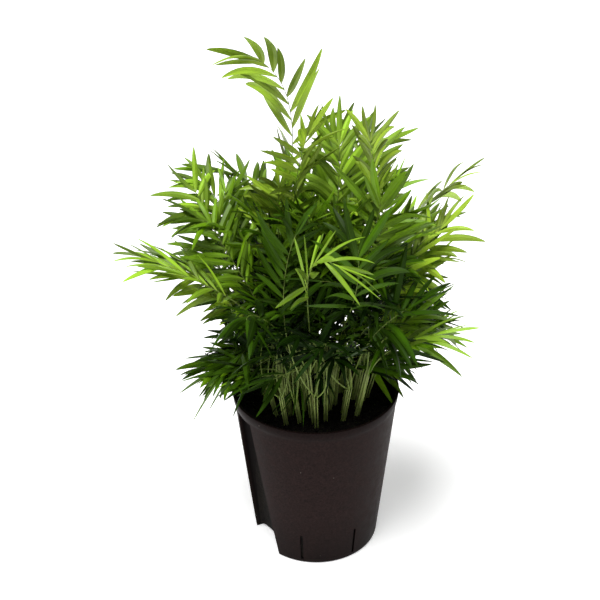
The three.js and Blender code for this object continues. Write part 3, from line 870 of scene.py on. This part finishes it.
def make_pot(surface):
    """A skin raised outline by outline, closed below and inside, with slots through its wall."""
    levels = [pot_outline(*level) for level in pot_levels()]
    hollow_shades = [pot_hollow_shades(margin, open_recess) for _, _, margin, open_recess in pot_levels()]
    bm = bmesh.new()
    column = bm.verts.layers.int.new("column")
    # Painted shade: each vertex in the recess or inside the pot is marked, and the colour is
    # darkened there
    hollow_shade = bm.verts.layers.float.new("hollow_shade")
    bmesh.ops.create_circle(bm, cap_ends=True, segments=len(levels[0]), radius=FOOT_RADIUS)
    bm.verts.ensure_lookup_table()
    for k, vertex in enumerate(bm.verts):
        vertex[column] = k
        vertex[hollow_shade] = hollow_shades[0][k]
        vertex.co = levels[0][k]
    edges = bm.edges[:]
    for outline, hollow_shades_here in zip(levels[1:], hollow_shades[1:]):
        made = bmesh.ops.extrude_edge_only(bm, edges=edges)["geom"]
        new = {v for v in made if isinstance(v, bmesh.types.BMVert)}
        for vertex in new:
            vertex.co = outline[vertex[column]]
            vertex[hollow_shade] = hollow_shades_here[vertex[column]]
        edges = [e for e in made if isinstance(e, bmesh.types.BMEdge) and set(e.verts) <= new]
    bmesh.ops.contextual_create(bm, geom=edges)
    cut_slots(bm)
    bmesh.ops.recalc_face_normals(bm, faces=bm.faces)
    mesh = bpy.data.meshes.new("pot_shell")
    bm.to_mesh(mesh)
    bm.free()
    mesh.shade_smooth()
    mesh.set_sharp_from_angle(angle=math.radians(POT_CREASE))
    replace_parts(make_piece("pot_shell", mesh, surface), "pot")


def cut_slots(bm):
    """Take the faces inside and outside of each slot away, and join the two openings' edges."""
    for turn in SLOT_TURNS:
        azimuth = RECESS_AZIMUTH + turn
        outward, sideways = Vector(polar(azimuth)), Vector(polar(azimuth + 90))
        doomed = []
        for face in bm.faces:
            middle = face.calc_center_median()
            in_slot = abs(middle.dot(sideways)) < SLOT_WIDTH / 2 and middle.dot(outward) > WALL
            if in_slot and SLOT_FROM < middle.z < SLOT_TO:
                doomed.append(face)
        bmesh.ops.delete(bm, geom=doomed, context="FACES")
        bmesh.ops.bridge_loops(bm, edges=[e for e in bm.edges if e.is_boundary])


def make_granules(surface):
    """Clay granules strewn over the top of the growing medium, half sunk in it."""
    roll = dice(GRANULE_SEED)
    bm = bmesh.new()
    bmesh.ops.create_icosphere(bm, subdivisions=2, radius=1)
    ball = np.array([vertex.co for vertex in bm.verts])
    faces = [[vertex.index for vertex in face.verts] for face in bm.faces]
    bm.free()
    room = (pot_radius(MEDIUM_TOP) - WALL - GAP) / MM
    granules = []
    for i in range(GRANULE_COUNT):
        radius = roll(*GRANULE_RADIUS)
        out = (room - radius - 1) * math.sqrt((i + 0.5) / GRANULE_COUNT)
        at = polar(i * GOLDEN_ANGLE) * out + UP * (SOIL + roll(*GRANULE_RISE))
        lumps = np.array([roll(*GRANULE_LUMPS) for _ in ball])[:, None]
        stretch = np.array([roll(*GRANULE_STRETCH) for _ in range(3)])
        angle = roll(0, math.pi)
        axis = Vector(polar(roll(0, 360), roll(*GRANULE_TILT)))
        turn = np.array(Matrix.Rotation(angle, 3, axis))
        granules.append((ball * lumps * stretch @ turn * radius + at, faces, ball[:, :2]))
    join_shapes("clay_granules", granules, surface)


# --- materials -----------------------------------------------------------------------------------


class Finish:
    """A material being made: its nodes are added and joined by name."""

    def __init__(self, name, roughness, gloss):
        self.material = bpy.data.materials.new(name)
        self.material.use_nodes = True
        self.nodes = self.material.node_tree.nodes
        self.links = self.material.node_tree.links
        self.shader = self.nodes["Principled BSDF"]
        self.shader.inputs["Roughness"].default_value = roughness
        self.shader.inputs["Specular IOR Level"].default_value = gloss

    def node(self, kind, **settings):
        made = self.nodes.new(kind)
        for name, value in settings.items():
            setattr(made, name, value)
        return made

    def join(self, out, into):
        self.links.new(out, into)

    def coordinates(self, output, scale=(1, 1, 1)):
        source = self.node("ShaderNodeTexCoord")
        mapping = self.node("ShaderNodeMapping")
        mapping.inputs["Scale"].default_value = scale
        self.join(source.outputs[output], mapping.inputs["Vector"])
        return mapping.outputs["Vector"]

    def part(self, vector, axis):
        """One component of a vector."""
        split = self.node("ShaderNodeSeparateXYZ")
        self.join(vector, split.inputs["Vector"])
        return split.outputs[axis]

    def attribute(self, name):
        return self.node("ShaderNodeAttribute", attribute_name=name).outputs["Fac"]

    def noise(self, vector, scale, detail, roughness=0.5):
        made = self.node("ShaderNodeTexNoise")
        made.inputs["Scale"].default_value = scale
        made.inputs["Detail"].default_value = detail
        made.inputs["Roughness"].default_value = roughness
        self.join(vector, made.inputs["Vector"])
        return made.outputs["Fac"]

    def ramp(self, value, stops):
        """Colours at places on a value's scale, and mixtures between them."""
        made = self.node("ShaderNodeValToRGB")
        elements = made.color_ramp.elements
        while len(elements) < len(stops):
            elements.new(0.5)
        for element, (at, colour) in zip(elements, stops):
            element.position = at
            element.color = (*colour, 1)
        self.join(value, made.inputs["Fac"])
        return made.outputs["Color"]

    def shades(self, value, stops):
        """A ramp of greys."""
        return self.ramp(value, [(at, (shade, shade, shade)) for at, shade in stops])

    def blend(self, share, a, b, mode="MIX"):
        made = self.node("ShaderNodeMix", data_type="RGBA", blend_type=mode)
        for value, socket in ((share, made.inputs[0]), (a, made.inputs[6]), (b, made.inputs[7])):
            if isinstance(value, (int, float)):
                socket.default_value = value
            elif isinstance(value, tuple):
                socket.default_value = (*value, 1)
            else:
                self.join(value, socket)
        return made.outputs[2]

    def multiply(self, a, b):
        return self.blend(1, a, b, "MULTIPLY")

    def bump(self, height, strength, distance):
        made = self.node("ShaderNodeBump")
        made.inputs["Strength"].default_value = strength
        made.inputs["Distance"].default_value = distance
        self.join(height, made.inputs["Height"])
        self.join(made.outputs["Normal"], self.shader.inputs["Normal"])

    def colour(self, value):
        self.join(value, self.shader.inputs["Base Color"])


def leaf_finish(name, colour, paler, gloss):
    """A leaflet: pale midrib and root, fine veins along it, margins darkened as painted shade
    between leaflets, satin gloss.
    """
    finish = Finish(name, LEAF_ROUGHNESS, gloss)
    place = finish.coordinates("UV")
    over, along = finish.part(place, "X"), finish.part(place, "Y")
    veins = finish.noise(finish.coordinates("UV", VEIN_PITCH), 1.0, 1.0)
    patches = finish.noise(finish.coordinates("Object", PATCH_PITCH), 1.0, 1.0)
    body = finish.multiply(colour, finish.shades(veins, UNEVEN_STOPS))
    body = finish.multiply(body, finish.shades(patches, UNEVEN_STOPS))
    body = finish.multiply(body, finish.shades(finish.attribute("shade"), LEAFLET_STOPS))
    body = finish.blend(finish.shades(along, ROOT_STOPS), body, paler)
    body = finish.blend(finish.shades(over, MIDRIB_STOPS), body, paler)
    # Painted shade along the margins
    finish.colour(finish.multiply(body, finish.shades(over, MARGIN_SHADE_STOPS)))
    finish.bump(veins, *LEAF_BUMP)
    return finish.material


def sheath_finish(name, colour, paler, browner):
    """Petioles and sheaths: pale green, paler at the foot partly of themselves and partly as painted
    light in the pot's shade, streaked and brownish in places.
    """
    finish = Finish(name, SHEATH_ROUGHNESS, SHEATH_GLOSS)
    streaks = finish.noise(finish.coordinates("Object", STREAK_PITCH), 1.0, 3.0)
    body = finish.blend(finish.shades(streaks, STREAK_STOPS), colour, paler)
    # Painted light at the foot, partly the sheaths' own paler colour
    height = finish.part(finish.coordinates("Object"), "Z")
    body = finish.multiply(body, finish.shades(height, PALE_LIT_FOOT_STOPS))
    patches = finish.noise(finish.coordinates("Object", BROWN_PITCH), 1.0, 2.0)
    finish.colour(finish.blend(finish.shades(patches, BROWN_STOPS), body, browner))
    finish.bump(streaks, *SHEATH_BUMP)
    return finish.material


def pot_finish():
    """Brown black plastic with a fine mottled grain, painted shade towards the foot, in the recess
    and inside, a darker band and a few dusty specks.
    """
    finish = Finish("brown_black_plastic", PLASTIC_ROUGHNESS, PLASTIC_GLOSS)
    place = finish.coordinates("Object")
    grain = finish.noise(place, *PLASTIC_GRAIN)
    mottle = finish.noise(place, *MOTTLE_GRAIN)
    height = finish.part(finish.coordinates("Object", (1, 1, 1 / POT_HEIGHT)), "Z")
    body = finish.multiply(finish.ramp(grain, PLASTIC_BROWNS), finish.shades(mottle, MOTTLE_STOPS))
    # Painted shade towards the foot, and a darker band
    body = finish.multiply(body, finish.shades(height, FOOT_SHADE_AND_DARK_BAND_STOPS))
    # Painted shade in the recess and inside the pot
    body = finish.multiply(body, finish.shades(finish.attribute("hollow_shade"), HOLLOW_SHADE_STOPS))
    cells = finish.node("ShaderNodeTexVoronoi")
    cells.inputs["Scale"].default_value = SPECK_PITCH
    finish.join(place, cells.inputs["Vector"])
    specks = finish.shades(cells.outputs["Distance"], SPECK_STOPS)
    dusty = finish.shades(finish.noise(place, *DUSTY_GRAIN), DUSTY_STOPS)
    finish.colour(finish.blend(finish.multiply(specks, dusty), body, DUST))
    finish.join(finish.shades(mottle, ROUGHNESS_STOPS), finish.shader.inputs["Roughness"])
    finish.bump(grain, *PLASTIC_BUMP)
    return finish.material


def clay_finish():
    """Moist expanded clay: nearly black, partly its own colour and partly painted shade under the
    crown, dull and pitted.
    """
    finish = Finish("moist_shaded_clay", CLAY_ROUGHNESS, CLAY_GLOSS)
    place = finish.coordinates("Object")
    finish.colour(finish.ramp(finish.noise(place, *CLAY_GRAIN), CLAY_BROWNS))
    finish.bump(finish.noise(place, *PIT_GRAIN), *CLAY_BUMP)
    return finish.material


# --- studio --------------------------------------------------------------------------------------


def make_camera():
    camera = bpy.data.objects.new("camera", bpy.data.cameras.new("camera"))
    camera.data.lens = LENS
    camera.data.sensor_width = SENSOR
    way = Vector(CAMERA_AIM) - Vector(CAMERA_AT)
    turn = way.to_track_quat("-Z", "Y").to_matrix().to_4x4()
    roll = Matrix.Rotation(math.radians(CAMERA_ROLL), 4, "Z")
    camera.matrix_world = Matrix.Translation(CAMERA_AT) @ turn @ roll
    bpy.context.scene.collection.objects.link(camera)
    bpy.context.scene.camera = camera


def make_sun(name, strength, spread, at):
    sun = bpy.data.objects.new(name, bpy.data.lights.new(name, "SUN"))
    sun.data.energy = strength
    sun.data.angle = math.radians(spread)
    turn = (-Vector(at)).to_track_quat("-Z", "Y").to_matrix().to_4x4()
    sun.matrix_world = Matrix.Translation(at) @ turn
    bpy.context.scene.collection.objects.link(sun)


def make_floor():
    bm = bmesh.new()
    bmesh.ops.create_grid(bm, x_segments=1, y_segments=1, size=FLOOR_HALF_SIZE)
    mesh = bpy.data.meshes.new("studio_floor")
    bm.to_mesh(mesh)
    bm.free()
    floor = bpy.data.objects.new("studio_floor", mesh)
    bpy.context.scene.collection.objects.link(floor)
    finish = Finish("pale_floor", FLOOR_ROUGHNESS, 0)
    finish.shader.inputs["Base Color"].default_value = FLOOR_WHITE
    finish.shader.inputs["Emission Color"].default_value = WHITE
    finish.shader.inputs["Emission Strength"].default_value = FLOOR_GLOW
    mesh.materials.append(finish.material)


def make_walls():
    """The world behind the floor: white at the horizon, dimmer above."""
    world = bpy.data.worlds.new("studio")
    world.use_nodes = True
    nodes, links = world.node_tree.nodes, world.node_tree.links
    way = nodes.new("ShaderNodeSeparateXYZ")
    links.new(nodes.new("ShaderNodeTexCoord").outputs["Generated"], way.inputs["Vector"])
    glow = nodes.new("ShaderNodeMapRange")
    links.new(way.outputs["Z"], glow.inputs["Value"])
    glow.inputs["From Max"].default_value = WALL_GLOW_TO
    glow.inputs["To Min"].default_value = WALL_GLOW
    glow.inputs["To Max"].default_value = CEILING_GLOW
    links.new(glow.outputs["Result"], nodes["Background"].inputs["Strength"])
    nodes["Background"].inputs["Color"].default_value = WHITE
    bpy.context.scene.world = world


make_camera()
make_floor()
make_walls()
make_sun("key", KEY_STRENGTH, KEY_SPREAD, KEY_AT)
bpy.context.scene.view_settings.view_transform = "Standard"

palm = plan_the_palm()
for tone, looks in TONES.items():
    make_leaflets(palm, tone, leaf_finish(f"leaf_{tone}", *looks))
make_petioles(palm, sheath_finish("petiole_green", *PETIOLE_GREENS))
make_stems(palm, sheath_finish("sheath_green", *SHEATH_GREENS))
make_pot(pot_finish())
clay = clay_finish()
make_granules(clay)
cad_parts["growing_medium"].data.materials.clear()
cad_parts["growing_medium"].data.materials.append(clay)
